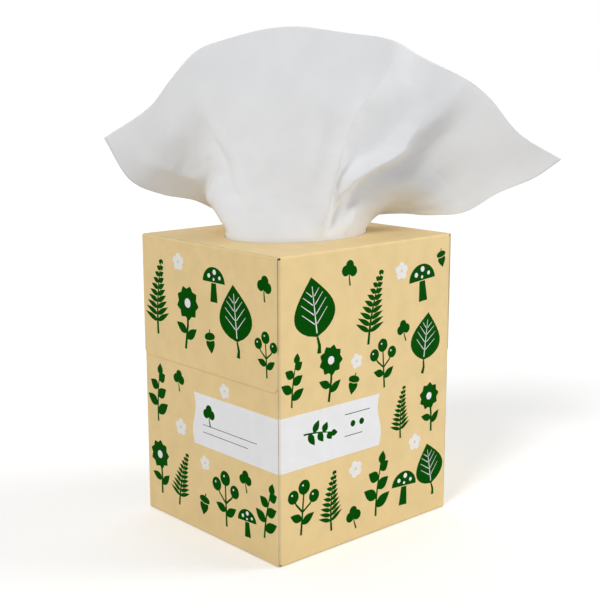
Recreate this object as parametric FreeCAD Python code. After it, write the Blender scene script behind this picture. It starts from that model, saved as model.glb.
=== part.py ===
import FreeCAD, Part
import math
import os

# An upright tissue box: a folded and glued carton, the clip of sheets inside it, bent over like an
# upturned U, and the one sheet that stands out of the oval opening as a fan.
# Sizes are millimetres. The origin is the middle of the carton's underside, +Z is up, -Y is the front.

# Carton, one blank of paperboard
WIDTH = 108.0
DEPTH = 97.0
HEIGHT = 135.0
BOARD = 0.45
FLAP_LAYERS = 3
FOLD_RADIUS = 1.0
GLUE_FLAP = 14.0
GLUE_FLAP_RELIEF = 2.0
DUST_FLAP = 40.0
DUST_FLAP_TAPER = 5.0
DUST_FLAP_RELIEF = 1.2
TOP_FLAP = 57.4
FLAP_OVERLAP = 18.0
FLAP_INSET = 0.6
FLAP_CORNER = 2.5
SEAM_GAP = 0.3
OPENING_LENGTH = 74.0
OPENING_WIDTH = 55.0

# Clip of folded sheets
END_CLEARANCE = 0.65
SIDE_CLEARANCE = 0.3
HEADSPACE = 17.4
LEG_SLIT = 0.6

# Sheet that stands out of the opening
SHEET = 0.4
LAY_GAP = 0.4
NECK_GAP = 0.7
NECK_RISE = 1.5
NECK_START = 78.0
NECK_END = 368.0
FAN_TURN = -42.0
SKIRT_REACH = 104.0
SKIRT_HEM = 1.0
SKIRT_SQUARENESS = 3.6
SKIRT_BEND = 4.0

# Free edge of the fan, from its left tip to its right tip, and the two side edges, from the neck to the
# tips: each point is (to the right, towards the viewer, above the carton's top)
FREE_EDGE = [
    (-86, 16, 45), (-67, 6, 58), (-57, 1, 71), (-46, -3, 83), (-34, -5, 88), (-14, -6, 93), (2, -5, 94),
    (24, -2, 91), (42, 1, 88), (56, -3, 81), (76, -7, 71), (90, -6, 61), (104, -1, 46), (121, 7, 35),
]
LEFT_EDGE = [(-23, -27, 5), (-38, -23, 8), (-49, -13, 14), (-63, -2, 18), (-76, 10, 26), (-86, 16, 45)]
RIGHT_EDGE = [
    (36, -27, 5.5), (50, -23, 6.5), (66, -16, 6.5), (80, -11, 8.5), (94, -5, 18), (110, 1, 26),
    (121, 7, 35),
]

# How fast the fan leaves the neck to the right, towards the viewer and upwards
RISE_POWERS = (1.25, 1.15, 0.95)

# Swell of the neck's left side: depth, then place and half length across and up, and how much of the
# fan's power to the right it takes away
SWELL = (9.0, 0.21, 0.12, 0.13, 0.14)
SWELL_EASE = 0.5

# Folds of the fan: height, place across at the neck, drift by the free edge, half widths to the left
# and right, place up the fan and half length there. Places are shares of the width and of the rise.
FOLDS = [
    (5.5, 0.603, 0.005, 0.035, 0.022, 0.30, 0.55),
    (-4.0, 0.655, 0.020, 0.018, 0.018, 0.10, 0.22),
    (3.0, 0.706, 0.000, 0.020, 0.020, 0.05, 0.16),
    (6.0, 0.572, 0.235, 0.050, 0.024, 0.46, 0.24),
    (-5.5, 0.632, 0.235, 0.040, 0.045, 0.42, 0.26),
    (3.0, 0.600, 0.200, 0.030, 0.030, 0.72, 0.14),
    (-3.0, 0.650, 0.200, 0.035, 0.035, 0.62, 0.16),
    (1.6, 0.325, -0.060, 0.018, 0.018, 0.30, 0.28),
    (-1.6, 0.360, -0.050, 0.018, 0.018, 0.30, 0.28),
    (1.2, 0.420, -0.030, 0.025, 0.025, 0.35, 0.30),
    (2.2, 0.170, 0.000, 0.030, 0.030, 0.66, 0.25),
    (-2.2, 0.235, 0.000, 0.035, 0.035, 0.60, 0.25),
]

# Gathers at the back of the neck: depth, pitch and reach from each side edge, place and half length up
GATHERS = (0.8, 0.09, 0.16, 0.22, 0.18)

# Share of the rise over which the folds grow from nothing at the rim
FOLD_START = 0.07

# Flat facets that the sheet is made of: across it, up the fan and down the skirt
COLUMNS = 72
FAN_ROWS = 18
SKIRT_ROWS = 12

# Share of the width or of the rise over which the fan's slope is measured
SLOPE_STEP = 0.001

# Length that counts as none
NO_LENGTH = 1e-6

# Sizes that follow from those above
TUBE_HALF = WIDTH / 2 - (FLAP_LAYERS - 1) * BOARD - FOLD_RADIUS
INNER_HALF_DEPTH = DEPTH / 2 - BOARD
STACK_BASE = 2 * BOARD
STACK_HALF_WIDTH = WIDTH / 2 - FLAP_LAYERS * BOARD - END_CLEARANCE
BEND_RADIUS = INNER_HALF_DEPTH - SIDE_CLEARANCE - SHEET - LAY_GAP
BEND_CENTRE = HEIGHT - BOARD - HEADSPACE - BEND_RADIUS
LAY_RADIUS = BEND_RADIUS + LAY_GAP + SHEET / 2
NECK_TOP = HEIGHT + NECK_RISE
NECK_HALF_LENGTH = OPENING_LENGTH / 2 - NECK_GAP - SHEET / 2
NECK_HALF_WIDTH = OPENING_WIDTH / 2 - NECK_GAP - SHEET / 2


def vector(x, y, z=0.0):
    return FreeCAD.Vector(x, y, z)


# Outlines and prisms

def line(start, end):
    return Part.LineSegment(start, end).toShape()


def arc(centre, radius, start, sweep):
    """Arc edge in the XY plane, from an angle in degrees through a sweep."""
    angles = [math.radians(start + sweep * share) for share in (0, 0.5, 1)]
    points = [centre + vector(math.cos(a), math.sin(a)) * radius for a in angles]
    return Part.Arc(*points).toShape()


def fold_line(start, heading, runs, turn, inset):
    """Edges, in the XY plane, of straight runs joined by square folds, with its two end points.

    start is on the board's outer side, heading is in degrees, and turn is 1 for folds to the left and -1
    for folds to the right. inset is how far the line lies inside the outer side.
    """
    edges = []
    angle = heading
    point = None
    for index, run in enumerate(runs):
        along = vector(math.cos(math.radians(angle)), math.sin(math.radians(angle)))
        across = vector(-along.y, along.x) * turn
        if point is None:
            point = start + across * inset
            first = point
        if run > 0:
            edges.append(line(point, point + along * run))
            point = point + along * run
        if index < len(runs) - 1:
            radius = FOLD_RADIUS - inset
            centre = point + across * radius
            edges.append(arc(centre, radius, angle - 90 * turn, 90 * turn))
            point = centre + along * radius
            angle += 90 * turn
    return edges, first, point


def folded_face(start, heading, runs, turn):
    """Section of a board that runs straight and folds square between its runs."""
    outer, outer_start, outer_end = fold_line(start, heading, runs, turn, 0)
    inner, inner_start, inner_end = fold_line(start, heading, runs, turn, BOARD)
    caps = [line(outer_start, inner_start), line(outer_end, inner_end)]
    return Part.Face(Part.Wire(Part.__sortEdges__(outer + inner + caps)))


def along_x(face, low, high):
    """Prism along X of a face drawn in the XY plane as (Y, Z)."""
    turned = face.copy()
    turned.rotate(vector(0, 0), vector(1, 1, 1), 120)
    turned.translate(vector(low, 0))
    return turned.extrude(vector(high - low, 0))


def along_y(face, low, high):
    """Prism along Y of a face drawn in the XY plane as (X, Z)."""
    turned = face.copy()
    turned.rotate(vector(0, 0), vector(1, 0), 90)
    turned.translate(vector(0, low))
    return turned.extrude(vector(0, high - low))


def along_z(face, low, high):
    raised = face.copy()
    raised.translate(vector(0, 0, low))
    return raised.extrude(vector(0, 0, high - low))


def polygon(points):
    corners = [vector(*point) for point in points]
    return Part.Face(Part.makePolygon(corners + corners[:1]))


def rounded_free_corners(flap, height):
    """The flap with its two corners at that height rounded."""
    corners = [
        edge for edge in flap.Edges
        if abs(edge.Length - BOARD) < NO_LENGTH
        and abs(edge.BoundBox.ZMin - height) < NO_LENGTH
        and abs(edge.BoundBox.ZMax - height) < NO_LENGTH
    ]
    return flap.makeFillet(FLAP_CORNER, corners)


# Carton

def carton_tube():
    """Back, top, front and bottom panels, with the glue flap turned in under the back panel."""
    middle = HEIGHT / 2
    back_x = DEPTH / 2
    panels = folded_face(
        vector(back_x, middle),
        90,
        [middle - FOLD_RADIUS, DEPTH - 2 * FOLD_RADIUS, HEIGHT - 2 * FOLD_RADIUS,
         DEPTH - FOLD_RADIUS - SEAM_GAP],
        1,
    )
    seam = folded_face(
        vector(back_x - GLUE_FLAP, BOARD),
        0,
        [GLUE_FLAP - FOLD_RADIUS, middle - BOARD - FOLD_RADIUS],
        1,
    )
    tube = along_x(panels, -TUBE_HALF, TUBE_HALF)
    seam_solid = along_x(seam, -TUBE_HALF, TUBE_HALF)
    for side in (-1, 1):
        end = side * TUBE_HALF
        relief = Part.makeBox(
            GLUE_FLAP_RELIEF, GLUE_FLAP - FOLD_RADIUS, BOARD,
            vector(min(end, end - side * GLUE_FLAP_RELIEF), back_x - GLUE_FLAP, BOARD),
        )
        seam_solid = seam_solid.cut(relief)
    return tube.fuse(seam_solid)


def dust_flap():
    """Flap on the front panel's +X edge, turned in square, narrower towards its free end."""
    section = folded_face(vector(TUBE_HALF, -DEPTH / 2), 0, [0, DUST_FLAP - FOLD_RADIUS], 1)
    low, high = DUST_FLAP_RELIEF, HEIGHT - DUST_FLAP_RELIEF
    flap = along_z(section, low, high)
    near, far = -DEPTH / 2, -DEPTH / 2 + DUST_FLAP
    shape = polygon([
        (near, low), (near + FOLD_RADIUS, low), (far, low + DUST_FLAP_TAPER),
        (far, high - DUST_FLAP_TAPER), (near + FOLD_RADIUS, high), (near, high),
    ])
    return flap.common(along_x(shape, TUBE_HALF, WIDTH / 2))


def closing_flap(start, layer, length, turn):
    """Top or bottom flap over the +X end: layer counts the boards that lie under it."""
    section = folded_face(start, 0, [layer * BOARD, length - FOLD_RADIUS], turn)
    reach = DEPTH / 2 - FLAP_INSET
    flap = along_y(section, -reach, reach)
    edge_height = start.y + turn * length
    return rounded_free_corners(flap, edge_height)


def carton_end():
    """The four flaps that close the +X end, glued on each other."""
    front = dust_flap()
    back = front.mirror(vector(0, 0), vector(0, 1))
    bottom_length = HEIGHT - TOP_FLAP + FLAP_OVERLAP
    bottom = closing_flap(vector(TUBE_HALF, 0), FLAP_LAYERS - 2, bottom_length, 1)
    top = closing_flap(vector(TUBE_HALF, HEIGHT), FLAP_LAYERS - 1, TOP_FLAP, -1)
    return [front, back, bottom, top]


def opening_cut():
    outline = Part.Ellipse(vector(0, 0), OPENING_LENGTH / 2, OPENING_WIDTH / 2).toShape()
    face = Part.Face(Part.Wire([outline]))
    return along_z(face, HEIGHT - 2 * BOARD, HEIGHT + BOARD)


def carton():
    ends = carton_end()
    far_ends = [flap.mirror(vector(0, 0), vector(1, 0)) for flap in ends]
    whole = carton_tube().fuse(ends + far_ends)
    return whole.cut(opening_cut()).removeSplitter()


# Clip of sheets

def tissue_stack():
    """The clip bent over the box's long middle line, with the slit between its two legs."""
    radius, slit, base, centre = BEND_RADIUS, LEG_SLIT / 2, STACK_BASE, BEND_CENTRE
    middle = vector(0, centre)
    edges = [
        line(vector(radius, base), vector(radius, centre)),
        arc(middle, radius, 0, 180),
        line(vector(-radius, centre), vector(-radius, base)),
        line(vector(-radius, base), vector(-slit, base)),
        line(vector(-slit, base), vector(-slit, centre)),
        arc(middle, slit, 180, -180),
        line(vector(slit, centre), vector(slit, base)),
        line(vector(slit, base), vector(radius, base)),
    ]
    section = Part.Face(Part.Wire(edges))
    return along_x(section, -STACK_HALF_WIDTH, STACK_HALF_WIDTH)


# Standing sheet

def placed(right, near, height):
    """Point given to the right of, towards the viewer of, and above the middle of the underside."""
    turn = math.radians(FAN_TURN)
    x = right * math.cos(turn) + near * math.sin(turn)
    y = right * math.sin(turn) - near * math.cos(turn)
    return vector(x, y, height)


def through(points, share):
    """Point at a share of a smooth curve through the points, spaced by the root of their distances."""
    knots = [0.0]
    for a, b in zip(points, points[1:]):
        knots.append(knots[-1] + math.sqrt((b - a).Length))
    place = share * knots[-1]
    last = len(points) - 1
    index = 0
    while index < last - 1 and place > knots[index + 1]:
        index += 1

    def slope(i):
        low, high = max(i - 1, 0), min(i + 1, last)
        return (points[high] - points[low]) * (1 / (knots[high] - knots[low]))

    span = knots[index + 1] - knots[index]
    u = (place - knots[index]) / span
    return (
        points[index] * (2 * u**3 - 3 * u**2 + 1)
        + slope(index) * (span * (u**3 - 2 * u**2 + u))
        + points[index + 1] * (3 * u**2 - 2 * u**3)
        + slope(index + 1) * (span * (u**3 - u**2))
    )


def neck_angle(share):
    return math.radians(NECK_START + (NECK_END - NECK_START) * share)


def neck_point(share, height):
    angle = neck_angle(share)
    return vector(NECK_HALF_LENGTH * math.cos(angle), NECK_HALF_WIDTH * math.sin(angle), height)


def bell(value, middle, half):
    return math.exp(-(((value - middle) / half) ** 2))


def edge_points(points):
    return [placed(right, near, HEIGHT + rise) for right, near, rise in points]


def smooth_fan(share, rise):
    """Point of the fan before its folds: a patch between the neck, the free edge and the side edges."""
    free = edge_points(FREE_EDGE)
    starts = [neck_point(side, NECK_TOP) for side in (0, 1)]
    sides = [
        through([starts[0]] + edge_points(LEFT_EDGE), rise),
        through([starts[1]] + edge_points(RIGHT_EDGE), rise),
    ]
    neck, edge = neck_point(share, NECK_TOP), through(free, share)
    depth, across, half_across, up, half_up = SWELL
    axes = [placed(1, 0, 0), placed(0, 1, 0), vector(0, 0, 1)]
    point = sides[0] * (1 - share) + sides[1] * share
    left_power = RISE_POWERS[0] * (1 - SWELL_EASE * bell(share, across, half_across))
    for axis, power in zip(axes, (left_power,) + RISE_POWERS[1:]):
        blend = rise**power
        chord = (starts[0] * (1 - share) + starts[1] * share) * (1 - blend)
        chord = chord + (free[0] * (1 - share) + free[-1] * share) * blend
        line_point = neck * (1 - blend) + edge * blend
        point = point + axis * axis.dot(line_point - chord)
    swell = depth * bell(share, across, half_across) * bell(rise, up, half_up) * min(rise / FOLD_START, 1)
    return point - axes[0] * swell


def fold_height(share, rise):
    """How far the sheet stands out of the smooth fan."""
    height = 0.0
    for tall, across, drift, left, right, up, half_up in FOLDS:
        middle = across + drift * rise
        half = left if share < middle else right
        height += tall * bell(share, middle, half) * bell(rise, up, half_up)
    depth, pitch, reach, up, half_up = GATHERS
    inward = min(share, 1 - share)
    fade = max(0, 1 - inward / reach)
    height += depth * fade * math.sin(2 * math.pi * inward / pitch) * bell(rise, up, half_up)
    return height * min(rise / FOLD_START, 1)


def fan_point(share, rise):
    low, high = max(share - SLOPE_STEP, 0), min(share + SLOPE_STEP, 1)
    across = smooth_fan(high, rise) - smooth_fan(low, rise)
    low, high = max(rise - SLOPE_STEP, 0), min(rise + SLOPE_STEP, 1)
    upward = smooth_fan(share, high) - smooth_fan(share, low)
    return smooth_fan(share, rise) + upward.cross(across).normalize() * -fold_height(share, rise)


def lying_point(across, round_bend):
    """Point of the sheet where it lies on the clip: along X, and round the bend from its crest."""
    turn = min(abs(round_bend) / LAY_RADIUS, math.pi / 2)
    side = math.copysign(1, round_bend)
    down = max(abs(round_bend) - LAY_RADIUS * math.pi / 2, 0)
    y = side * LAY_RADIUS * math.sin(turn)
    return vector(across, y, BEND_CENTRE + LAY_RADIUS * math.cos(turn) - down)


def round_bend_to(y):
    return LAY_RADIUS * math.asin(y / LAY_RADIUS)


def skirt_column(share):
    """Points from inside the neck down to the clip and outwards over it to the hem."""
    angle = neck_angle(share)
    rim = neck_point(share, HEIGHT)
    foot_x = (NECK_HALF_LENGTH + SKIRT_BEND) * math.cos(angle)
    foot_bend = round_bend_to((NECK_HALF_WIDTH + SKIRT_BEND) * math.sin(angle))
    crest = lying_point(rim.x, round_bend_to(rim.y))
    corner = sum(abs(side) ** SKIRT_SQUARENESS for side in (math.cos(angle), math.sin(angle)))
    stretch = corner ** (-1 / SKIRT_SQUARENESS)
    hem_x = (STACK_HALF_WIDTH - SKIRT_HEM) * stretch * math.cos(angle)
    hem_bend = SKIRT_REACH * stretch * math.sin(angle)
    column = [vector(rim.x, rim.y, crest.z + SKIRT_BEND)]
    for row in range(SKIRT_ROWS + 1):
        part = row / SKIRT_ROWS
        column.append(lying_point(
            foot_x + (hem_x - foot_x) * part,
            foot_bend + (hem_bend - foot_bend) * part,
        ))
    return column


def sheet_grid():
    """Columns of points on the sheet's middle, each from the hem up to the free edge."""
    grid = []
    for column in range(COLUMNS + 1):
        share = column / COLUMNS
        fan = [fan_point(share, row / FAN_ROWS) for row in range(FAN_ROWS + 1)]
        grid.append(skirt_column(share)[::-1] + fan)
    return grid


def grid_normal(grid, i, j):
    low, high = max(i - 1, 0), min(i + 1, len(grid) - 1)
    across = grid[high][j] - grid[low][j]
    low, high = max(j - 1, 0), min(j + 1, len(grid[0]) - 1)
    return across.cross(grid[i][high] - grid[i][low]).normalize()


def strip_facets(first, second):
    """Triangles between two runs of points that lie side by side."""
    facets = []
    for a, b, c, d in zip(first, first[1:], second, second[1:]):
        facets += [(a, b, d), (a, d, c)]
    return facets


def pulled_tissue():
    """Two skins, each half the sheet's thickness off its middle, closed along all four edges."""
    middle = sheet_grid()
    columns, rows = len(middle), len(middle[0])
    points = [
        middle[i][j] + grid_normal(middle, i, j) * offset
        for offset in (-SHEET / 2, SHEET / 2) for i in range(columns) for j in range(rows)
    ]
    inner, outer = [
        [[(skin * columns + i) * rows + j for j in range(rows)] for i in range(columns)]
        for skin in (0, 1)
    ]
    facets = []
    for i in range(columns - 1):
        facets += strip_facets(outer[i], outer[i + 1])
        facets += [facet[::-1] for facet in strip_facets(inner[i], inner[i + 1])]
    facets += strip_facets(inner[0], outer[0])
    facets += strip_facets(outer[-1], inner[-1])
    facets += strip_facets([column[0] for column in outer], [column[0] for column in inner])
    facets += strip_facets([column[-1] for column in inner], [column[-1] for column in outer])
    skin = Part.Shape()
    skin.makeShapeFromMesh((points, facets), NO_LENGTH)
    solid = Part.makeSolid(skin.Shells[0])
    if solid.Volume < 0:
        solid.reverse()
    return solid


def main():
    os.makedirs("parts", exist_ok=True)
    pieces = {"carton": carton(), "tissue_stack": tissue_stack(), "pulled_tissue": pulled_tissue()}
    for name, shape in pieces.items():
        print(f"{name}: {len(shape.Solids)} solid, valid {shape.isValid()}, {shape.Volume:.0f} mm3")
        shape.exportStep(f"parts/{name}.step")


main()
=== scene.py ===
import math

import bmesh
import bpy
import numpy as np
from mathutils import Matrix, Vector
from mathutils.geometry import delaunay_2d_cdt

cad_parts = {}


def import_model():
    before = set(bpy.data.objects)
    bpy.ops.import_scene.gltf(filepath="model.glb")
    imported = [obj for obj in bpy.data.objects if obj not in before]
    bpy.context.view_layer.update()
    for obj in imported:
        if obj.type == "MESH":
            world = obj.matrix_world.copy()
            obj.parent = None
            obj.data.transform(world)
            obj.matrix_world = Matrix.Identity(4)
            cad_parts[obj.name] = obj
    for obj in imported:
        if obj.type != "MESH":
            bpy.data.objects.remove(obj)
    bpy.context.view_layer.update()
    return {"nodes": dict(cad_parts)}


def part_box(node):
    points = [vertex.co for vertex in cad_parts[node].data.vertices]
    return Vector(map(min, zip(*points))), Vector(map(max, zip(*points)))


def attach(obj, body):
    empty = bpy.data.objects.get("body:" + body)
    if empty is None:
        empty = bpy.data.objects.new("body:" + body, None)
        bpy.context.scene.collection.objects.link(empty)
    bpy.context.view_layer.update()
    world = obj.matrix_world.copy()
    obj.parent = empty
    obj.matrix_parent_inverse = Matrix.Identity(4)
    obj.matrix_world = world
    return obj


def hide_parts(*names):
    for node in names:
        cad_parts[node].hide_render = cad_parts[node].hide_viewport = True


# The tissue box's looks: the printed carton, the clip of sheets and the standing sheet.
# Places and sizes are millimetres in the frame's axes, turned into metres where a mesh is made.

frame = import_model()
MM = 0.001

# Carton, from the frame
HALF_WIDTH, HALF_DEPTH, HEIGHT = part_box("carton")[1] / MM
BOARD = 0.45

# How near two points are the same one, how square to an axis a panel is, and up to what angle an edge is
# shaded smooth
WELD = 1e-4
FLAT = 0.999
SMOOTH_ANGLE = math.radians(40)

# Coated skin on the folds: how far it reaches in from a side, and how much its faces look outwards.
# A face that looks to the side less than FLAP_EDGE is the cut edge of a flap.
SKIN_REACH = 1.3
LOOKS_OUT = 0.05
FLAP_EDGE = 0.5

# Label that runs round the front left corner: its heights, how far it reaches along the front and the end,
# and the wave of its two ends
LABEL_LOW, LABEL_HIGH = 42.0, 66.3
LABEL_FRONT_REACH = 60.8
LABEL_END_REACH = 59.0
LABEL_WAVE = 1.2
LABEL_STEPS = 9

# Colours, as screen values from 0 to 255
TAN = (240, 212, 155)
GREEN = (0, 80, 0)
BLOSSOM_WHITE = (240, 238, 236)
LABEL_WHITE = (242, 242, 244)
RAW_BOARD = (216, 200, 168)
TISSUE_WHITE = (239, 240, 242)

INKS = ["tan", "green", "pale", "label", "raw"]
TAN_INK, GREEN_INK, PALE_INK, LABEL_INK, RAW_INK = range(len(INKS))


def linear(colour):
    """Linear colour of a screen colour."""
    shares = [part / 255 for part in colour]
    return tuple(s / 12.92 if s <= 0.04045 else ((s + 0.055) / 1.055) ** 2.4 for s in shares) + (1.0,)


# Outlines of the printed motifs, in millimetres about the motif's middle

def blade(start, end, width, fullest=0.8, steps=10):
    """Outline of a pointed leaf between two points."""
    start, end = np.array(start, float), np.array(end, float)
    along = end - start
    across = np.array([-along[1], along[0]]) / np.hypot(*along)
    shares = np.linspace(0, 1, steps)
    half = width / 2 * np.sin(math.pi * shares**fullest)
    middle = start + shares[:, None] * along
    left = middle + half[:, None] * across
    right = middle - half[:, None] * across
    return np.vstack([left, right[-2:0:-1]])


def disc(centre, radius, tall=1.0, steps=20):
    """Outline of a disc, flattened where tall is under 1."""
    angles = np.linspace(0, 2 * math.pi, steps, endpoint=False)
    return np.array(centre) + np.stack([radius * np.cos(angles), tall * radius * np.sin(angles)], 1)


def stem(points, width, tip=0.5):
    """Outline of a stem along points, tapering towards its last one."""
    points = np.array(points, float)
    along = np.gradient(points, axis=0)
    across = np.stack([-along[:, 1], along[:, 0]], 1) / np.hypot(along[:, 0], along[:, 1])[:, None]
    half = width / 2 * np.linspace(1, tip, len(points))[:, None]
    return np.vstack([points + across * half, (points - across * half)[::-1]])


def bend(height, lean, steps=7):
    """Points up a gently leaning line that is as tall as height and centred on the origin."""
    shares = np.linspace(0, 1, steps)
    return np.stack([lean * (shares**2 - 0.5), height * (shares - 0.5)], 1)


def big_leaf(size):
    """One broad leaf with its veins left pale."""
    low, top = -size * 0.28, size * 0.5
    shapes = [(stem([(0, -size / 2), (0.02 * size, -0.4 * size), (0, low)], size * 0.07), GREEN_INK)]
    shapes.append((blade((0, low), (0, top), size * 0.70, 0.72, 16), GREEN_INK))
    shapes.append((stem([(0, low + 0.05 * size), (0, top - 0.12 * size)], size * 0.02), PALE_INK))
    for share in (0.22, 0.38, 0.54, 0.68):
        root = low + (top - low) * share
        reach = size * 0.22 * math.sin(math.pi * (share + 0.1) ** 0.72)
        for side in (-1, 1):
            vein = [(side * 0.02 * size, root), (side * reach, root + reach * 0.8)]
            shapes.append((stem(vein, size * 0.014), PALE_INK))
    return shapes


def sprig(size):
    """A stem with alternate leaves."""
    spine = bend(size * 0.9, size * 0.12)
    shapes = [(stem(spine, size * 0.045), GREEN_INK)]
    for index in range(1, 6):
        root = spine[index]
        side = 1 if index % 2 else -1
        reach = size * (0.34 - 0.03 * index)
        shapes.append((blade(root, root + (side * reach, reach * 0.62), size * 0.19), GREEN_INK))
    low, top = spine[-1] - (0, 0.06 * size), spine[-1] + (0.03 * size, 0.16 * size)
    shapes.append((blade(low, top, size * 0.16), GREEN_INK))
    return shapes


def fern(size):
    """A frond whose leaflets shorten towards its tip."""
    spine = bend(size * 0.94, size * 0.16, 12)
    shapes = [(stem(spine, size * 0.045, 0.3), GREEN_INK)]
    for index in range(2, 12):
        root = spine[index]
        reach = size * (0.31 - 0.024 * index)
        for side in (-1, 1):
            tip = root + (side * reach, reach * 0.45)
            shapes.append((blade(root, tip, size * 0.072, 0.7, 8), GREEN_INK))
    return shapes


def berries(size):
    """A forked twig with round berries and two leaves."""
    base, fork = np.array([0, -size / 2]), np.array([0, -size * 0.08])
    shapes = [(stem([base, fork], size * 0.05, 0.8), GREEN_INK)]
    for x, y, radius in ((-0.24, 0.22, 0.125), (0.0, 0.37, 0.135), (0.25, 0.18, 0.12)):
        centre = np.array([x, y]) * size
        shapes.append((stem([fork, (fork + centre) / 2 + (x * 4, 0), centre], size * 0.04, 0.8), GREEN_INK))
        shapes.append((disc(centre, radius * size), GREEN_INK))
        shapes.append((disc(centre + (-0.03 * size, 0.035 * size), 0.02 * size, steps=10), PALE_INK))
    for side in (-1, 1):
        root = (0, -size * (0.26 + 0.04 * side))
        shapes.append((blade(root, (side * 0.28 * size, -0.12 * size), size * 0.16), GREEN_INK))
    return shapes


def mushroom(size):
    """A spotted cap on a stout stalk."""
    angles = np.linspace(0, math.pi, 15)
    cap = np.stack([0.46 * np.cos(angles), 0.06 + 0.4 * np.sin(angles)], 1) * size
    stalk = np.array([(-0.1, 0.04), (-0.15, -0.46), (0.15, -0.46), (0.1, 0.04)]) * size
    shapes = [(stalk, GREEN_INK), (cap, GREEN_INK)]
    for x, y, radius in ((-0.2, 0.22, 0.06), (0.03, 0.33, 0.07), (0.24, 0.2, 0.05), (0.0, 0.14, 0.04)):
        shapes.append((disc((x * size, y * size), radius * size, steps=14), PALE_INK))
    return shapes


def daisy(size):
    """A round-petalled flower on a stem with two leaves."""
    centre = np.array([0, size * 0.24])
    shapes = [(stem([(0, -size / 2), (0.03 * size, -0.1 * size), centre], size * 0.055, 0.8), GREEN_INK)]
    for index in range(9):
        angle = 2 * math.pi * index / 9
        way = np.array([math.cos(angle), math.sin(angle)])
        shapes.append((blade(centre, centre + way * size * 0.28, size * 0.19, 1.3), GREEN_INK))
    shapes.append((disc(centre, size * 0.075), PALE_INK))
    for side in (-1, 1):
        root = (0.02 * size, -size * (0.28 + 0.05 * side))
        shapes.append((blade(root, (side * 0.26 * size, -0.12 * size), size * 0.15), GREEN_INK))
    return shapes


def acorn(size):
    """A nut under its cup."""
    nut = blade((0, 0.16 * size), (0, -0.5 * size), size * 0.56, 0.62, 12)
    cup = disc((0, 0.2 * size), size * 0.34, 0.52)
    gap = stem([(-0.32 * size, 0.08 * size), (0, 0.03 * size), (0.32 * size, 0.08 * size)], size * 0.035, 1)
    stalk = stem([(0, 0.3 * size), (0.05 * size, 0.5 * size)], size * 0.07, 0.9)
    return [(nut, GREEN_INK), (cup, GREEN_INK), (gap, TAN_INK), (stalk, GREEN_INK)]


def clover(size):
    """Three round leaflets on a stem."""
    shapes = [(stem([(0.1 * size, -size / 2), (0.02 * size, -0.2 * size), (0, 0)], size * 0.09), GREEN_INK)]
    for x, y in ((-0.2, 0.08), (0.2, 0.08), (0.0, 0.3)):
        shapes.append((disc((x * size, y * size), 0.22 * size, steps=16), GREEN_INK))
    return shapes


def blossom(size):
    """A small pale flower without a stem."""
    shapes = []
    for index in range(5):
        angle = 2 * math.pi * (index + 0.25) / 5
        way = np.array([math.cos(angle), math.sin(angle)]) * size * 0.34
        shapes.append((disc(way, size * 0.25, steps=14), PALE_INK))
    shapes.append((disc((0, 0), size * 0.1, steps=12), TAN_INK))
    return shapes


# Layout of each panel: motif, place across and up the panel, height, and tilt in degrees.
# Across is from the panel's middle, to the right as one looks at it.

FRONT = [
    (big_leaf, -33, 108, 34, 8), (clover, -13, 124, 11, -6), (fern, 3, 106, 34, -4), (blossom, 20, 121, 7, 0),
    (mushroom, 34, 114, 19, 5), (acorn, 47, 124, 9, 12), (sprig, -45, 80, 22, 0), (daisy, -24, 81, 25, -4),
    (blossom, -8, 84, 6, 10), (acorn, -10, 74, 10, -14), (berries, 9, 80, 23, 4), (clover, 22, 93, 10, 8),
    (big_leaf, 37, 85, 29, -7), (fern, 22, 54, 25, 5), (daisy, 41, 53, 24, 6), (blossom, 31, 38, 7, 0),
    (berries, -40, 24, 25, -5), (fern, -22, 22, 28, 6), (blossom, -8, 34, 7, 20), (clover, -9, 11, 11, 5),
    (sprig, 7, 21, 29, 0), (mushroom, 24, 17, 18, -4), (big_leaf, 42, 22, 27, 10),
]
LEFT_END = [
    (fern, -35, 106, 36, 4), (blossom, -20, 125, 7, 0), (daisy, -14, 100, 29, -5), (mushroom, 6, 118, 17, 0),
    (acorn, 3, 92, 11, 10), (big_leaf, 21, 104, 32, 6), (clover, 40, 121, 11, -8), (berries, 41, 93, 20, 3),
    (sprig, -38, 58, 27, 3), (clover, -22, 69, 10, -6), (blossom, -21, 47, 7, 0), (blossom, 12, 71, 6, 15),
    (daisy, -38, 23, 26, 4), (fern, -20, 21, 28, -5), (blossom, -3, 34, 6, 10), (acorn, -4, 14, 11, -8),
    (berries, 12, 21, 26, 2), (clover, 26, 33, 10, 0), (mushroom, 27, 14, 14, 4), (sprig, 41, 22, 25, -4),
]
BACK = [
    (mushroom, -38, 117, 20, -4), (fern, -19, 108, 33, 5), (blossom, -3, 124, 7, 0), (daisy, 10, 107, 30, 4),
    (clover, 26, 124, 11, 7), (sprig, 33, 101, 28, -3), (acorn, 47, 119, 10, -10), (berries, -40, 86, 25, 3),
    (blossom, -22, 84, 7, 12), (big_leaf, -4, 74, 30, -6), (acorn, 13, 84, 11, 8), (fern, 44, 72, 30, -5),
    (mushroom, 26, 69, 18, 5), (clover, 10, 60, 10, 0), (fern, -26, 55, 27, 6), (daisy, -43, 48, 25, -4),
    (blossom, -10, 46, 7, 0), (berries, 5, 31, 24, -3), (sprig, -30, 21, 28, 4), (clover, -13, 14, 11, -7),
    (acorn, 25, 44, 11, -12), (big_leaf, 26, 21, 29, 7), (mushroom, 44, 17, 17, -3), (blossom, 43, 42, 7, 0),
    (blossom, -47, 22, 6, 0),
]
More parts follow.
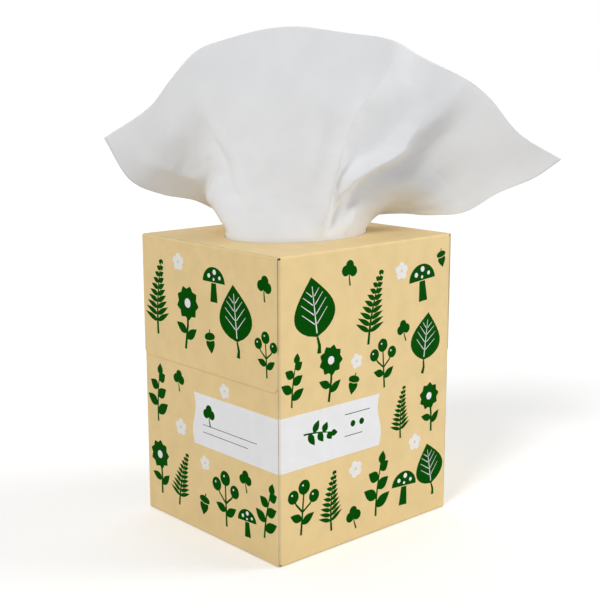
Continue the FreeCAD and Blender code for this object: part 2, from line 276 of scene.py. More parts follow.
RIGHT_END = [
    (berries, -36, 115, 25, 0), (clover, -20, 94, 11, 6), (fern, -9, 108, 33, -6), (blossom, 8, 125, 7, 0),
    (big_leaf, 17, 102, 32, -5), (daisy, 37, 109, 29, 5), (acorn, -39, 91, 11, 9), (sprig, -38, 55, 29, 5),
    (mushroom, -18, 63, 17, -4), (blossom, -19, 43, 7, 0), (daisy, 3, 56, 27, 3), (acorn, 20, 67, 10, -8),
    (fern, 20, 44, 26, 6), (berries, 38, 60, 24, -4), (clover, 37, 38, 11, 5), (big_leaf, -35, 20, 28, -6),
    (blossom, -16, 29, 6, 0), (clover, -17, 14, 11, 4), (mushroom, 1, 19, 20, 3), (sprig, 20, 18, 24, -5),
    (acorn, 38, 18, 13, 8),
]


def laid_out(layout):
    """Outlines and inks of a panel's motifs, in the panel's own millimetres."""
    shapes = []
    for motif, across, up, height, tilt in layout:
        turn = math.radians(tilt)
        spin = np.array([[math.cos(turn), math.sin(turn)], [-math.sin(turn), math.cos(turn)]])
        for outline, ink in motif(height):
            shapes.append((np.asarray(outline) @ spin + (across, up), ink))
    return shapes


# Label: a pale band with a motif and thin rules. A motif has a height and a place on its panel, and a
# rule its left end, right end and height.

FRONT_SPRIG, FRONT_SPRIG_PLACE = 19, (-31, 55.5)
FRONT_RULES, FRONT_RULE = [(-15, 0.5, 60.5), (-15, -4.0, 50.5)], 0.35
FRONT_DOTS, FRONT_DOT = [(-10, 55.8), (-4.5, 55.8)], 1.5
END_CLOVER, END_CLOVER_PLACE = 10, (0.5, 57)
END_RULES, END_RULE = [(-4, 34, 52.0), (-4, 28, 48.5)], 0.3
QUARTER_TURN = np.array([[0, -1], [1, 0]])


def label_band(corner, reach, outward):
    """Outline of one half of the label: corner is its edge at the fold, and reach its length from it."""
    ups = np.linspace(LABEL_LOW, LABEL_HIGH, LABEL_STEPS)
    wave = LABEL_WAVE * np.sin(np.linspace(0, 2 * math.pi, LABEL_STEPS))
    far = corner + outward * (reach + wave)
    return np.vstack([np.stack([far, ups], 1), [(corner, LABEL_HIGH), (corner, LABEL_LOW)]])


def rule(left, right, height, thick):
    """Outline of a thin level line."""
    return np.array([(left, height), (right, height), (right, height + thick), (left, height + thick)])


def label_front(corner):
    """The label on the front: a sprig on its side, two rules and two dots."""
    reach = LABEL_FRONT_REACH - HALF_WIDTH - corner
    shapes = [(label_band(corner, reach, 1), LABEL_INK)]
    for outline, ink in sprig(FRONT_SPRIG):
        shapes.append((outline @ QUARTER_TURN + FRONT_SPRIG_PLACE, ink))
    for row in FRONT_RULES:
        shapes.append((rule(*row, FRONT_RULE), GREEN_INK))
    for place in FRONT_DOTS:
        shapes.append((disc(place, FRONT_DOT), GREEN_INK))
    return shapes


def label_end(corner):
    """The label on the left end: a clover leaf and two rules."""
    reach = LABEL_END_REACH - (HALF_DEPTH - corner)
    shapes = [(label_band(corner, reach, -1), LABEL_INK)]
    for outline, ink in clover(END_CLOVER):
        shapes.append((outline + END_CLOVER_PLACE, ink))
    for row in END_RULES:
        shapes.append((rule(*row, END_RULE), GREEN_INK))
    return shapes


# Carton mesh: the frame's own surface, with the print cut into its flat panels

def welded_carton():
    """The frame's carton with its points joined, and cut along the label's two edges."""
    work = bmesh.new()
    work.from_mesh(frame["nodes"]["carton"].data)
    bmesh.ops.remove_doubles(work, verts=work.verts, dist=WELD * MM)
    for height in (LABEL_LOW, LABEL_HIGH):
        everything = work.verts[:] + work.edges[:] + work.faces[:]
        bmesh.ops.bisect_plane(
            work, geom=everything, plane_co=(0, 0, height * MM), plane_no=(0, 0, 1), dist=WELD * MM
        )
    return work


def flat_region(work, axis, side, place):
    """Faces that lie in one plane and look outwards."""
    return [
        face for face in work.faces
        if face.normal[axis] * side > FLAT
        and abs(face.calc_center_median()[axis] - side * place * MM) < BOARD * MM / 10
    ]


def outline_of(region):
    """Points round the edge of a region, in order."""
    inside = set(region)
    follow = {}
    for face in region:
        for loop in face.loops:
            if not any(other in inside for other in loop.edge.link_faces if other is not face):
                follow[loop.vert] = loop.link_loop_next.vert
    start = next(iter(follow))
    ring = [start]
    while follow[ring[-1]] is not start:
        ring.append(follow[ring[-1]])
    return ring


def left_turning(points, corners):
    """Corners of an outline in the order that keeps its inside on the left."""
    corners = list(corners)
    area = sum(points[a].cross(points[b]) for a, b in zip(corners, corners[1:] + corners[:1]))
    return corners if area > 0 else corners[::-1]


def print_region(work, region, across, side, shapes):
    """Cuts outlines into a flat region and gives each new face its ink."""
    ring = outline_of(region)
    flat = [Vector((vert.co[across] * side / MM, vert.co.z / MM)) for vert in ring]
    low, high = min(point.y for point in flat), max(point.y for point in flat)
    points, polygons, inks = list(flat), [left_turning(flat, range(len(flat)))], [TAN_INK]
    for outline, ink in shapes:
        if outline[:, 1].min() < low - WELD or outline[:, 1].max() > high + WELD:
            continue
        first = len(points)
        points += [Vector(point) for point in outline]
        polygons.append(left_turning(points, range(first, len(points))))
        inks.append(ink)
    cut = delaunay_2d_cdt(points, [], polygons, 1, WELD)
    depth = ring[0].co.copy()
    verts = []
    for place, origins in zip(cut[0], cut[3]):
        on_ring = [index for index in origins if index < len(ring)]
        if on_ring:
            verts.append(ring[on_ring[0]])
            continue
        spot = depth.copy()
        spot[across] = place.x * side * MM
        spot.z = place.y * MM
        verts.append(work.verts.new(spot))
    normal = region[0].normal.copy()
    bmesh.ops.delete(work, geom=region, context="FACES_KEEP_BOUNDARY")
    for corners, origins in zip(cut[2], cut[5]):
        face = work.faces.new([verts[index] for index in corners])
        face.normal_update()
        if face.normal.dot(normal) < 0:
            face.normal_flip()
        face.material_index = inks[max(origins)]


def plain_ink(centre, normal):
    """Ink of a face outside the printed panels: coated skin, the label's turn, or bare board."""
    x, y, z = centre / MM
    outside = [
        HALF_WIDTH - abs(x) < SKIN_REACH + 2 * BOARD and normal.x * math.copysign(1, x) > LOOKS_OUT,
        HALF_DEPTH - abs(y) < SKIN_REACH and normal.y * math.copysign(1, y) > LOOKS_OUT,
        min(z, HEIGHT - z) < SKIN_REACH and normal.z * math.copysign(1, z - HEIGHT / 2) > LOOKS_OUT,
    ]
    at_end = abs(x) > HALF_WIDTH - 2 * BOARD and abs(y) < HALF_DEPTH - BOARD
    if not any(outside) or (at_end and abs(normal.x) < FLAP_EDGE):
        return RAW_INK
    at_corner = x < SKIN_REACH - HALF_WIDTH + 2 * BOARD and y < SKIN_REACH - HALF_DEPTH
    if at_corner and LABEL_LOW < z < LABEL_HIGH:
        return LABEL_INK
    return TAN_INK


def sharpen(work):
    """Smooth shading with the board's own corners kept sharp."""
    for face in work.faces:
        face.smooth = True
    for edge in work.edges:
        edge.smooth = len(edge.link_faces) == 2 and edge.calc_face_angle() < SMOOTH_ANGLE


def printed_carton():
    """Makes the carton with its print."""
    work = welded_carton()
    for face in work.faces:
        face.material_index = plain_ink(face.calc_center_median(), face.normal)
    front = flat_region(work, 1, -1, HALF_DEPTH)
    corner = min(vert.co.x for face in front for vert in face.verts) / MM
    print_region(work, front, 0, 1, laid_out(FRONT) + label_front(corner))
    print_region(work, flat_region(work, 1, 1, HALF_DEPTH), 0, -1, laid_out(BACK))
    for side, layout in ((-1, LEFT_END), (1, RIGHT_END)):
        for inset in (0, BOARD):
            flap = flat_region(work, 0, side, HALF_WIDTH - inset)
            shapes = laid_out(layout)
            if side < 0 and inset:
                corner = -min(vert.co.y for face in flap for vert in face.verts) / MM
                shapes += label_end(corner)
            print_region(work, flap, 1, side, shapes)
    sharpen(work)
    piece = new_piece("printed_carton", work, [board_material(name) for name in INKS])
    piece.modifiers.new("even_shading", "WEIGHTED_NORMAL").keep_sharp = True
    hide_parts("carton")
    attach(piece, "root")


def new_piece(name, work, materials):
    """An object of the mesh, without the normals that the frame's mesh brought along."""
    mesh = bpy.data.meshes.new(name)
    work.to_mesh(mesh)
    work.free()
    if "custom_normal" in mesh.attributes:
        mesh.attributes.remove(mesh.attributes["custom_normal"])
    for material in materials:
        mesh.materials.append(material)
    piece = bpy.data.objects.new(name, mesh)
    bpy.context.collection.objects.link(piece)
    return piece


# Standing sheet: it follows the frame's sheet, with finer folds

SHEET = 0.34
SHEET_WIDTH, HALF_LENGTH = 213.0, 104.0

# Free edge of the fan, from its left tip to its right tip, and the two side edges, from the neck to the
# tips, as in the frame: each point is (to the right, towards the viewer, above the carton's top)
FREE_EDGE = [
    (-86, 16, 45), (-67, 6, 58), (-57, 1, 71), (-46, -3, 83), (-34, -5, 88), (-14, -6, 93), (2, -5, 94),
    (24, -2, 91), (42, 1, 88), (56, -3, 81), (76, -7, 71), (90, -6, 61), (104, -1, 46), (121, 7, 35),
]
LEFT_EDGE = [(-23, -27, 5), (-38, -23, 8), (-49, -13, 14), (-63, -2, 18), (-76, 10, 26), (-86, 16, 45)]
RIGHT_EDGE = [
    (36, -27, 5.5), (50, -23, 6.5), (66, -16, 6.5), (80, -11, 8.5), (94, -5, 18), (110, 1, 26),
    (121, 7, 35),
]
FAN_TURN = math.radians(-42)

# Neck: the angles where the sheet begins and ends round the opening, its half sides, and its straight rise
NECK_START, NECK_END = math.radians(78), math.radians(368)
NECK_HALF_LENGTH, NECK_HALF_WIDTH = 36.5, 27.0
NECK_RISE = 1.5

# How late the fan leaves the neck to the right, towards the viewer and upwards: 1 is evenly, under 1 early
RISE_POWERS = (1.25, 1.15, 0.95)

# Swell of the neck's left side: depth, place and half width across, then place and half length up.
# SWELL_EASE is how much earlier the fan goes sideways there.
SWELL = (7.0, 0.21, 0.13, 0.19, 0.15)
SWELL_EASE = 0.5

# Folds of the fan. Each has a sharpness, 1 for a crest like a roof and 2 for a round one, and rows of:
# place up the fan, place across it, height, and half width to the left and to the right.
FOLDS = {
    "main ridge": (1.3, [
        (0.00, 0.612, 1.5, 0.022, 0.012), (0.13, 0.604, 3.4, 0.024, 0.012),
        (0.30, 0.590, 3.8, 0.030, 0.013), (0.50, 0.578, 3.6, 0.030, 0.014),
        (0.72, 0.588, 2.6, 0.034, 0.016), (0.90, 0.614, 1.6, 0.040, 0.030),
        (1.00, 0.628, 1.4, 0.045, 0.055),
    ]),
    "main ridge's line": (1.3, [
        (0.02, 0.611, 0.0, 0.008, 0.008), (0.15, 0.603, 0.8, 0.009, 0.008),
        (0.35, 0.587, 1.3, 0.010, 0.009), (0.55, 0.579, 1.3, 0.011, 0.010),
        (0.72, 0.588, 0.8, 0.012, 0.011), (0.88, 0.610, 0.0, 0.012, 0.012),
    ]),
    "second ridge's line": (1.3, [
        (0.18, 0.624, 0.0, 0.012, 0.010), (0.28, 0.620, 1.2, 0.013, 0.010),
        (0.38, 0.622, 1.8, 0.015, 0.012), (0.47, 0.644, 2.0, 0.017, 0.012),
        (0.61, 0.697, 1.8, 0.018, 0.013), (0.74, 0.716, 0.0, 0.018, 0.014),
    ]),
    "hollow beside the second ridge": (2, [
        (0.28, 0.596, 0.0, 0.014, 0.014), (0.38, 0.592, -1.4, 0.018, 0.016),
        (0.47, 0.612, -2.2, 0.024, 0.017), (0.61, 0.658, -2.4, 0.040, 0.020),
        (0.73, 0.678, -1.2, 0.044, 0.022), (0.88, 0.686, 0.0, 0.044, 0.024),
    ]),
    "second ridge": (1.25, [
        (0.12, 0.628, 0.0, 0.020, 0.016), (0.25, 0.620, 2.6, 0.022, 0.018),
        (0.38, 0.622, 4.8, 0.026, 0.020), (0.47, 0.644, 5.8, 0.030, 0.020),
        (0.61, 0.697, 5.0, 0.034, 0.022), (0.73, 0.716, 2.4, 0.036, 0.026),
        (0.86, 0.722, 0.0, 0.040, 0.030),
    ]),
    "deep valley": (1.7, [
        (0.04, 0.672, 0.0, 0.020, 0.030), (0.18, 0.668, -2.6, 0.020, 0.030),
        (0.34, 0.668, -4.4, 0.022, 0.040), (0.47, 0.704, -4.6, 0.028, 0.045),
        (0.62, 0.752, -3.8, 0.030, 0.045), (0.77, 0.782, -1.8, 0.030, 0.040),
        (0.92, 0.800, 0.0, 0.030, 0.040),
    ]),
    "third crest": (1.6, [
        (0.66, 0.722, 0.0, 0.030, 0.022), (0.78, 0.735, 1.8, 0.034, 0.024),
        (0.88, 0.752, 1.8, 0.036, 0.026), (1.00, 0.770, 1.0, 0.036, 0.030),
    ]),
    "right overhang": (2, [
        (0.45, 0.850, 0.0, 0.080, 0.110), (0.58, 0.850, -3.2, 0.080, 0.110),
        (0.74, 0.850, 0.0, 0.080, 0.110), (1.00, 0.850, 7.0, 0.085, 0.130),
    ]),
    "neck groove": (1.5, [
        (0.00, 0.636, -1.6, 0.012, 0.016), (0.16, 0.632, -1.6, 0.013, 0.018),
        (0.26, 0.636, 0.0, 0.014, 0.020),
    ]),
    "neck rib": (1.6, [
        (0.00, 0.694, 1.6, 0.016, 0.016), (0.14, 0.690, 1.8, 0.016, 0.018),
        (0.28, 0.690, 0.0, 0.016, 0.020),
    ]),
    "patch beside the ridge": (2, [
        (0.22, 0.544, 0.0, 0.022, 0.018), (0.38, 0.536, 0.9, 0.022, 0.018),
        (0.60, 0.527, 0.9, 0.024, 0.018), (0.75, 0.524, 0.0, 0.024, 0.018),
    ]),
    "long wrinkle": (1.5, [
        (0.10, 0.400, 0.0, 0.022, 0.018), (0.21, 0.374, -1.3, 0.022, 0.018),
        (0.40, 0.312, -2.0, 0.026, 0.020), (0.61, 0.262, -1.6, 0.026, 0.022),
        (0.82, 0.232, 0.0, 0.026, 0.022),
    ]),
    "long wrinkle's crest": (1.6, [
        (0.12, 0.442, 0.0, 0.024, 0.030), (0.24, 0.416, 0.9, 0.024, 0.030),
        (0.42, 0.358, 1.4, 0.026, 0.034), (0.62, 0.306, 1.1, 0.026, 0.034),
        (0.84, 0.270, 0.0, 0.026, 0.034),
    ]),
    "left crest": (1.6, [
        (0.42, 0.140, 0.0, 0.024, 0.030), (0.55, 0.112, 1.8, 0.024, 0.030),
        (0.71, 0.084, 2.2, 0.024, 0.030), (0.84, 0.054, 1.4, 0.024, 0.030),
        (1.00, 0.030, 0.0, 0.024, 0.030),
    ]),
    "middle crest": (2, [
        (0.30, 0.450, 0.0, 0.030, 0.030), (0.45, 0.420, 0.8, 0.030, 0.030),
        (0.70, 0.360, 0.8, 0.030, 0.030), (0.90, 0.320, 0.0, 0.030, 0.030),
    ]),
}

# Gathers beside the side edges: height, pitch, reach inwards, then place up the fan and half length there
GATHERS = (0.8, 0.09, 0.16, 0.22, 0.18)

# Rise over which the folds set in, and the step that slopes are measured over
FOLD_START = 0.07
SLOPE_STEP = 1e-3

# Skirt on the clip: the clip's bend, the sheet's bend over it, the hem, how square the hem's outline is,
# and the bend from the skirt into the neck
CLIP_RADIUS, CLIP_CENTRE = 46.95, 70.2
LAY_RADIUS = CLIP_RADIUS + 0.6
HEM_ACROSS, SKIRT_REACH = 51.0, HALF_LENGTH
SKIRT_SQUARENESS = 3.6
SKIRT_BEND = 4.0

COLUMNS, FAN_ROWS, SKIRT_ROWS = 280, 130, 28
# Columns are closer together where the sharp folds are: shares of the columns, and of the sheet's width
COLUMN_SHARES, WIDTH_SHARES = (0, 0.33, 0.76, 1), (0, 0.5, 0.79, 1)

# Creases left by handling: how many, the seed of their draw, how far they move the sheet, and their lengths
CREASES = 60
CREASE_SEED = 7
CREASE_DEPTH = 0.05
CREASE_LENGTHS = (6.0, 40.0)

# Directions to the right, towards the viewer and upwards, as the fan is seen
VIEW_AXES = np.array([
    [math.cos(FAN_TURN), math.sin(FAN_TURN), 0],
    [math.sin(FAN_TURN), -math.cos(FAN_TURN), 0],
    [0, 0, 1.0],
])


def through(points, share):
    """Points at shares of a smooth curve through the points, spaced by the root of their distances."""
    knots = np.r_[0, np.cumsum(np.sqrt(np.linalg.norm(np.diff(points, axis=0), axis=1)))]
    last = len(points) - 1
    low, high = np.maximum(np.arange(last + 1) - 1, 0), np.minimum(np.arange(last + 1) + 1, last)
    slopes = (points[high] - points[low]) / (knots[high] - knots[low])[:, None]
    place = np.asarray(share) * knots[-1]
    index = np.clip(np.searchsorted(knots, place, side="right") - 1, 0, last - 1)
    span = (knots[index + 1] - knots[index])[..., None]
    u = (place - knots[index])[..., None] / span
    return (
        points[index] * (2 * u**3 - 3 * u**2 + 1)
        + slopes[index] * span * (u**3 - 2 * u**2 + u)
        + points[index + 1] * (3 * u**2 - 2 * u**3)
        + slopes[index + 1] * span * (u**3 - u**2)
    )


def bell(value, middle, half):
    """1 at the middle, and nearly 0 two half widths from it."""
    return np.exp(-(((value - middle) / half) ** 2))


def edge_points(points):
    """Points of an edge in the frame's axes."""
    return np.array(points, float) @ VIEW_AXES + (0, 0, HEIGHT)


def neck_point(share, height):
    """Points round the neck at a height."""
    angle = NECK_START + (NECK_END - NECK_START) * np.asarray(share, float)
    across, deep = NECK_HALF_LENGTH * np.cos(angle), NECK_HALF_WIDTH * np.sin(angle)
    return np.stack([across, deep, height + 0 * angle], -1)


def smooth_fan(share, rise):
    """Points of the fan before its folds: a patch between the neck, the free edge and the side edges."""
    free = edge_points(FREE_EDGE)
    starts = neck_point([0, 1], HEIGHT + NECK_RISE)
    sides = [
        through(np.vstack([starts[0], edge_points(LEFT_EDGE)]), rise),
        through(np.vstack([starts[1], edge_points(RIGHT_EDGE)]), rise),
    ]
    part = share[..., None]
    points = sides[0] * (1 - part) + sides[1] * part
    neck, edge = neck_point(share, HEIGHT + NECK_RISE), through(free, share)
    depth, across, half_across, up, half_up = SWELL
    left_power = RISE_POWERS[0] * (1 - SWELL_EASE * bell(share, across, half_across))
    for axis, power in zip(VIEW_AXES, (left_power,) + RISE_POWERS[1:]):
        blend = (rise**power)[..., None]
        chord = (starts[0] * (1 - part) + starts[1] * part) * (1 - blend)
        chord = chord + (free[0] * (1 - part) + free[-1] * part) * blend
        points = points + ((neck * (1 - blend) + edge * blend - chord) @ axis)[..., None] * axis
    swell = depth * bell(share, across, half_across) * bell(rise, up, half_up)
    return points - (swell * np.minimum(rise / FOLD_START, 1))[..., None] * VIEW_AXES[0]


def fold_height(share, rise):
    """How far the sheet stands out of the smooth fan."""
    height = 0 * share
    for sharpness, rows in FOLDS.values():
        ups, *columns = np.array(rows).T
        middle, tall, left, right = [np.interp(rise, ups, column) for column in columns]
        tall = tall * (rise >= ups[0]) * (rise <= ups[-1])
        half = np.where(share < middle, left, right)
        height = height + tall * np.exp(-(np.abs(share - middle) / half) ** sharpness)
    depth, pitch, reach, up, half_up = GATHERS
    inward = np.minimum(share, 1 - share)
    fade = np.clip(1 - inward / reach, 0, None)
    height = height + depth * fade * np.sin(2 * np.pi * inward / pitch) * bell(rise, up, half_up)
    return (height + creases(share, rise)) * np.minimum(rise / FOLD_START, 1)


def creases(share, rise):
    """Faint ripples in every direction, the same each time."""
    draw = np.random.default_rng(CREASE_SEED)
    height = 0 * share
    for _ in range(CREASES):
        length = draw.uniform(*CREASE_LENGTHS)
        angle, phase = draw.uniform(0, math.pi), draw.uniform(0, 2 * math.pi)
        way = (share * SHEET_WIDTH * math.cos(angle) + rise * HALF_LENGTH * math.sin(angle)) / length
        height = height + CREASE_DEPTH * (length / CREASE_LENGTHS[1]) * np.sin(2 * math.pi * way + phase)
    return height


def fan_points(share, rise):
    """Points of the fan with its folds."""
    left, right = np.clip(share - SLOPE_STEP, 0, 1), np.clip(share + SLOPE_STEP, 0, 1)
    lower, higher = np.clip(rise - SLOPE_STEP, 0, 1), np.clip(rise + SLOPE_STEP, 0, 1)
    across = smooth_fan(right, rise) - smooth_fan(left, rise)
    upward = smooth_fan(share, higher) - smooth_fan(share, lower)
    normal = np.cross(upward, across)
    normal /= np.linalg.norm(normal, axis=-1, keepdims=True)
    return smooth_fan(share, rise) - normal * fold_height(share, rise)[..., None]


def lying_points(across, round_bend):
    """Points of the sheet where it lies on the clip: along X, and round the bend from its crest."""
    turn = np.minimum(np.abs(round_bend) / LAY_RADIUS, math.pi / 2)
    down = np.maximum(np.abs(round_bend) - LAY_RADIUS * math.pi / 2, 0)
    deep = np.sign(round_bend) * LAY_RADIUS * np.sin(turn)
    return np.stack([across + 0 * turn, deep, CLIP_CENTRE + LAY_RADIUS * np.cos(turn) - down], -1)


def skirt_points(share, part):
    """Points on the clip, from the foot of the neck out to the hem."""
    angle = NECK_START + (NECK_END - NECK_START) * share
    cosine, sine = np.cos(angle), np.sin(angle)
    corner = np.abs(cosine) ** SKIRT_SQUARENESS + np.abs(sine) ** SKIRT_SQUARENESS
    stretch = corner ** (-1 / SKIRT_SQUARENESS)
    foot_x = (NECK_HALF_LENGTH + SKIRT_BEND) * cosine
    foot_bend = LAY_RADIUS * np.arcsin((NECK_HALF_WIDTH + SKIRT_BEND) * sine / LAY_RADIUS)
    hem_x, hem_bend = HEM_ACROSS * stretch * cosine, SKIRT_REACH * stretch * sine
    return lying_points(foot_x + (hem_x - foot_x) * part, foot_bend + (hem_bend - foot_bend) * part)


def sheet_points():
    """Grid of points on the sheet's middle, each column from the hem up to the free edge."""
    shares = np.interp(np.linspace(0, 1, COLUMNS + 1), COLUMN_SHARES, WIDTH_SHARES)
    share, part = np.meshgrid(shares, np.linspace(1, 0, SKIRT_ROWS + 1), indexing="ij")
    skirt = skirt_points(share, part)
    rim = neck_point(shares, HEIGHT)
    crest = lying_points(rim[:, 0], LAY_RADIUS * np.arcsin(rim[:, 1] / LAY_RADIUS))
    turn = np.stack([rim[:, 0], rim[:, 1], crest[:, 2] + SKIRT_BEND], -1)
    share, rise = np.meshgrid(shares, np.linspace(0, 1, FAN_ROWS + 1), indexing="ij")
    return np.concatenate([skirt, turn[:, None], rim[:, None], fan_points(share, rise)], axis=1)


def standing_sheet():
    """Makes the sheet: two skins and the strips that close them."""
    middle = sheet_points()
    columns, rows = middle.shape[:2]
    normal = np.cross(np.gradient(middle, axis=0), np.gradient(middle, axis=1))
    normal /= np.linalg.norm(normal, axis=-1, keepdims=True)
    skins = np.concatenate([middle - normal * SHEET / 2, middle + normal * SHEET / 2])
    index = np.arange(2 * columns * rows).reshape(2, columns, rows)
    inner, outer = index

    def strip(first, second):
        corners = [first[..., :-1], first[..., 1:], second[..., 1:], second[..., :-1]]
        return np.stack(corners, -1).reshape(-1, 4)

    faces = np.concatenate([
        strip(outer[:-1], outer[1:]),
        strip(inner[:-1], inner[1:])[:, ::-1],
        strip(inner[0], outer[0]),
        strip(outer[-1], inner[-1]),
        strip(outer[:, 0], inner[:, 0]),
        strip(inner[:, -1], outer[:, -1]),
    ])
    mesh = bpy.data.meshes.new("standing_sheet")
    mesh.from_pydata((skins.reshape(-1, 3) * MM).tolist(), [], faces.tolist())
    mesh.polygons.foreach_set("use_smooth", [True] * len(mesh.polygons))
    mesh.materials.append(tissue_material())
    piece = bpy.data.objects.new("standing_sheet", mesh)
    bpy.context.collection.objects.link(piece)
    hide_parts("pulled_tissue")
    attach(piece, "root")


# Clip of sheets: an upturned U whose ends show its layers. LAYER_STEP is how far every second layer is short.

CLIP_BASE, CLIP_SLIT, CLIP_HALF_LENGTH = 0.9, 0.3, 52.0
LAYERS = 60
LAYER_STEP = 0.25
ARC_STEPS = 28


def clip_of_sheets():
    """Makes the clip."""
    angles = np.linspace(0, math.pi, ARC_STEPS + 1)
    reaches = np.linspace(CLIP_SLIT, CLIP_RADIUS, 2 * LAYERS + 1)
    rows = []
    for reach in reaches:
        arc = np.stack([reach * np.cos(angles), CLIP_CENTRE + reach * np.sin(angles)], 1)
        rows.append(np.vstack([[(reach, CLIP_BASE)], arc, [(-reach, CLIP_BASE)]]))
    rows = np.array(rows)
    dent = np.where(np.arange(len(reaches)) % 2, LAYER_STEP, 0.0)
    work = bmesh.new()
    ends = []
    for side in (-1, 1):
        across = side * (CLIP_HALF_LENGTH - dent)
        ends.append([
            [work.verts.new((across[k] * MM, y * MM, z * MM)) for y, z in row] for k, row in enumerate(rows)
        ])
    low, high = ends
    for k in range(len(rows) - 1):
        for j in range(rows.shape[1] - 1):
            work.faces.new((low[k][j], low[k][j + 1], low[k + 1][j + 1], low[k + 1][j]))
            work.faces.new((high[k][j], high[k + 1][j], high[k + 1][j + 1], high[k][j + 1]))
        for j in (0, -1):
            work.faces.new((low[k][j], low[k + 1][j], high[k + 1][j], high[k][j]))
    for k in (0, -1):
        for j in range(rows.shape[1] - 1):
            work.faces.new((low[k][j], low[k][j + 1], high[k][j + 1], high[k][j]))
    bmesh.ops.recalc_face_normals(work, faces=work.faces)
    sharpen(work)
    piece = new_piece("clip_of_sheets", work, [tissue_material()])
    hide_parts("tissue_stack")
    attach(piece, "root")


# Materials: noise is in cells per metre, and bump in millimetres. A tint goes from dark to full colour
# between TINT_LOW and TINT_HIGH of the noise.

TINT_LOW, TINT_HIGH = 0.35, 0.65
BUMP_STRENGTH, FIBRE_STRENGTH = 0.5, 0.35
BOARD_MOTTLE, BOARD_FIBRES, BOARD_GRAIN = 120, 1400, (1, 1, 0.35)
SKIN_BUMP, RAW_BUMP = 0.02, 0.06
TISSUE_MOTTLE, TISSUE_FIBRES, FIBRE_BUMP = 60, 3200, 0.02
CREPE, CREPE_GRAIN, CREPE_BUMP = 900, (1, 1, 2.6), 0.05
TISSUE_DARK, TISSUE_SCATTER = 0.985, 1.2


def new_material(name):
    """A material with its nodes, links and shader."""
    material = bpy.data.materials.new(name)
    material.use_nodes = True
    nodes = material.node_tree.nodes
    return material, nodes, material.node_tree.links, nodes["Principled BSDF"]


def noise(nodes, links, scale, detail=4.0, stretch=(1, 1, 1)):
    """Noise on the object's own coordinates, in cells per metre."""
    place, mapping = nodes.new("ShaderNodeTexCoord"), nodes.new("ShaderNodeMapping")
    texture = nodes.new("ShaderNodeTexNoise")
    mapping.inputs["Scale"].default_value = stretch
    texture.inputs["Scale"].default_value = scale
    texture.inputs["Detail"].default_value = detail
    links.new(place.outputs["Object"], mapping.inputs["Vector"])
    links.new(mapping.outputs["Vector"], texture.inputs["Vector"])
    return texture.outputs["Fac"]


def tinted(nodes, links, value, colour, dark):
    """The colour, a little darker where the value is low."""
    ramp = nodes.new("ShaderNodeValToRGB")
    low, high = ramp.color_ramp.elements
    low.position, high.position = TINT_LOW, TINT_HIGH
    low.color, high.color = linear([part * dark for part in colour]), linear(colour)
    links.new(value, ramp.inputs["Fac"])
    return ramp.outputs["Color"]


def bumped(nodes, links, value, distance, strength, under=None):
    """Normal of a surface that stands out where the value is high."""
    bump = nodes.new("ShaderNodeBump")
    bump.inputs["Distance"].default_value = distance * MM
    bump.inputs["Strength"].default_value = strength
    links.new(value, bump.inputs["Height"])
    if under is not None:
        links.new(under, bump.inputs["Normal"])
    return bump.outputs["Normal"]


# Looks of the board: colour, roughness, how dark its mottling is, and its gloss
BOARD_LOOKS = {
    "tan": (TAN, 0.42, 0.975, 0.08),
    "green": (GREEN, 0.45, 0.93, 0.02),
    "pale": (BLOSSOM_WHITE, 0.45, 0.985, 0.08),
    "label": (LABEL_WHITE, 0.40, 0.985, 0.08),
    "raw": (RAW_BOARD, 0.90, 0.93, 0.08),
}


def board_material(name):
    """Coated board with one ink on it, or bare board."""
    colour, roughness, dark, gloss = BOARD_LOOKS[name]
    material, nodes, links, shader = new_material(f"board_{name}")
    mottle = noise(nodes, links, BOARD_MOTTLE, 5)
    links.new(tinted(nodes, links, mottle, colour, dark), shader.inputs["Base Color"])
    fibres = noise(nodes, links, BOARD_FIBRES, 3, BOARD_GRAIN)
    distance = RAW_BUMP if name == "raw" else SKIN_BUMP
    links.new(bumped(nodes, links, fibres, distance, BUMP_STRENGTH), shader.inputs["Normal"])
    shader.inputs["Roughness"].default_value = roughness
    shader.inputs["Specular IOR Level"].default_value = gloss
    return material


def tissue_material():
    """Soft creped tissue."""
    if "creped_tissue" in bpy.data.materials:
        return bpy.data.materials["creped_tissue"]
    material, nodes, links, shader = new_material("creped_tissue")
    mottle = noise(nodes, links, TISSUE_MOTTLE, 5)
    links.new(tinted(nodes, links, mottle, TISSUE_WHITE, TISSUE_DARK), shader.inputs["Base Color"])
    crepe = noise(nodes, links, CREPE, 4, CREPE_GRAIN)
    fibres = noise(nodes, links, TISSUE_FIBRES, 2)
    coarse = bumped(nodes, links, crepe, CREPE_BUMP, BUMP_STRENGTH)
    fine = bumped(nodes, links, fibres, FIBRE_BUMP, FIBRE_STRENGTH, coarse)
    links.new(fine, shader.inputs["Normal"])
    shader.inputs["Roughness"].default_value = 0.95
    shader.inputs["Specular IOR Level"].default_value = 0.15
    shader.inputs["Sheen Weight"].default_value = 0.08
    shader.inputs["Subsurface Weight"].default_value = 0.12
    shader.inputs["Subsurface Radius"].default_value = (1.0, 1.0, 1.0)
    shader.inputs["Subsurface Scale"].default_value = TISSUE_SCATTER * MM
    return material


# Stage, lamps and camera. The floor reaches FLOOR_REACH metres each way, and what the camera sees of it is
# lifted a little, so that it is white where nothing shades it.

FLOOR_REACH = 40.0
FLOOR_DROP = 0.05
FLOOR_SEEN, FLOOR_BOUNCE = (255, 255, 255), (215, 215, 215)
FLOOR_LIFT = 0.14

# Lamps: name, turn and height in degrees, softness in degrees, and strength
LAMPS = [
    ("key", -74, 40, 18, 1.22),
    ("right", 56, 12, 32, 2.00),
    ("back", 150, 50, 70, 0.50),
]
WORLD_LEVEL = 0.42

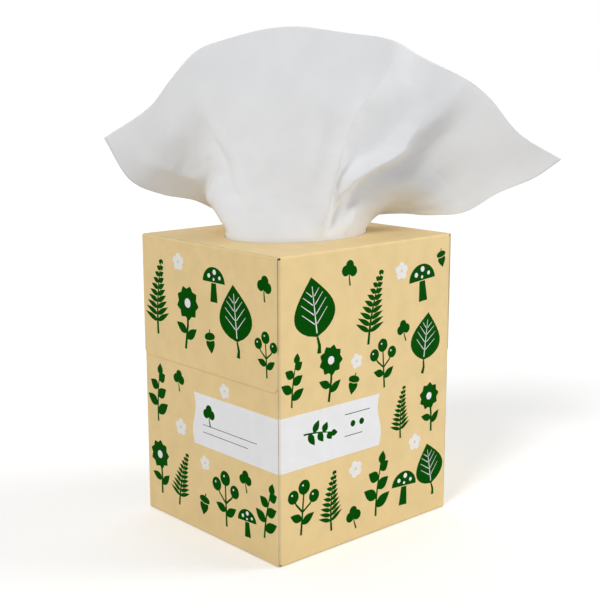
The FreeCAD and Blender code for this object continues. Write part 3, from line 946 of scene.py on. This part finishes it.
# Camera: its direction from the object in degrees, its place in metres, and its lens in millimetres
CAMERA_TURN, CAMERA_TILT = -42.0, 11.37
CAMERA_DISTANCE = 0.542
CAMERA_ASIDE, CAMERA_HEIGHT = 0.0015, 0.1031
CAMERA_LENS, CAMERA_SENSOR = 68.76, 36.0


def stage():
    """A pale floor."""
    work = bmesh.new()
    bmesh.ops.create_grid(work, x_segments=1, y_segments=1, size=FLOOR_REACH)
    bmesh.ops.translate(work, verts=work.verts, vec=(0, 0, -FLOOR_DROP * MM))
    material, nodes, links, shader = new_material("floor")
    path, mix = nodes.new("ShaderNodeLightPath"), nodes.new("ShaderNodeMix")
    mix.data_type = "RGBA"
    mix.inputs["A"].default_value = linear(FLOOR_BOUNCE)
    mix.inputs["B"].default_value = linear(FLOOR_SEEN)
    links.new(path.outputs["Is Camera Ray"], mix.inputs["Factor"])
    links.new(mix.outputs["Result"], shader.inputs["Base Color"])
    lift = nodes.new("ShaderNodeMath")
    lift.operation = "MULTIPLY"
    lift.inputs[1].default_value = FLOOR_LIFT
    links.new(path.outputs["Is Camera Ray"], lift.inputs[0])
    links.new(lift.outputs["Value"], shader.inputs["Emission Strength"])
    shader.inputs["Emission Color"].default_value = linear(FLOOR_SEEN)
    shader.inputs["Roughness"].default_value = 1.0
    shader.inputs["Specular IOR Level"].default_value = 0.0
    new_piece("floor", work, [material])


def towards(turn, tilt):
    """Direction from the object to what stands at a turn and a height, in degrees."""
    a, e = math.radians(turn), math.radians(tilt)
    return Vector((math.sin(a) * math.cos(e), -math.cos(a) * math.cos(e), math.sin(e)))


def lamps():
    """Makes the lamps, as suns."""
    for name, turn, height, softness, strength in LAMPS:
        light = bpy.data.lights.new(name, "SUN")
        light.angle = math.radians(softness)
        light.energy = strength
        lamp = bpy.data.objects.new(name, light)
        lamp.rotation_euler = towards(turn, height).to_track_quat("Z", "Y").to_euler()
        bpy.context.collection.objects.link(lamp)


def world():
    """Even pale light, and a white background for what the camera sees past the floor."""
    sky = bpy.data.worlds.new("sky")
    bpy.context.scene.world = sky
    sky.use_nodes = True
    nodes, links = sky.node_tree.nodes, sky.node_tree.links
    lit = nodes["Background"]
    lit.inputs["Strength"].default_value = WORLD_LEVEL
    lit.inputs["Color"].default_value = (1, 1, 1, 1)
    seen, path = nodes.new("ShaderNodeBackground"), nodes.new("ShaderNodeLightPath")
    seen.inputs["Color"].default_value = (1, 1, 1, 1)
    mix = nodes.new("ShaderNodeMixShader")
    links.new(path.outputs["Is Camera Ray"], mix.inputs["Fac"])
    links.new(lit.outputs["Background"], mix.inputs[1])
    links.new(seen.outputs["Background"], mix.inputs[2])
    links.new(mix.outputs["Shader"], nodes["World Output"].inputs["Surface"])


def camera():
    """Makes the camera."""
    back = towards(CAMERA_TURN, CAMERA_TILT)
    right = towards(CAMERA_TURN + 90, 0)
    target = right * CAMERA_ASIDE + Vector((0, 0, CAMERA_HEIGHT))
    lens = bpy.data.cameras.new("camera")
    lens.lens, lens.sensor_width = CAMERA_LENS, CAMERA_SENSOR
    lens.clip_start = 0.01
    view = bpy.data.objects.new("camera", lens)
    view.location = target + back * CAMERA_DISTANCE
    view.rotation_euler = back.to_track_quat("Z", "Y").to_euler()
    bpy.context.collection.objects.link(view)
    bpy.context.scene.camera = view


printed_carton()
clip_of_sheets()
standing_sheet()
stage()
lamps()
world()
camera()
bpy.context.scene.view_settings.view_transform = "Standard"
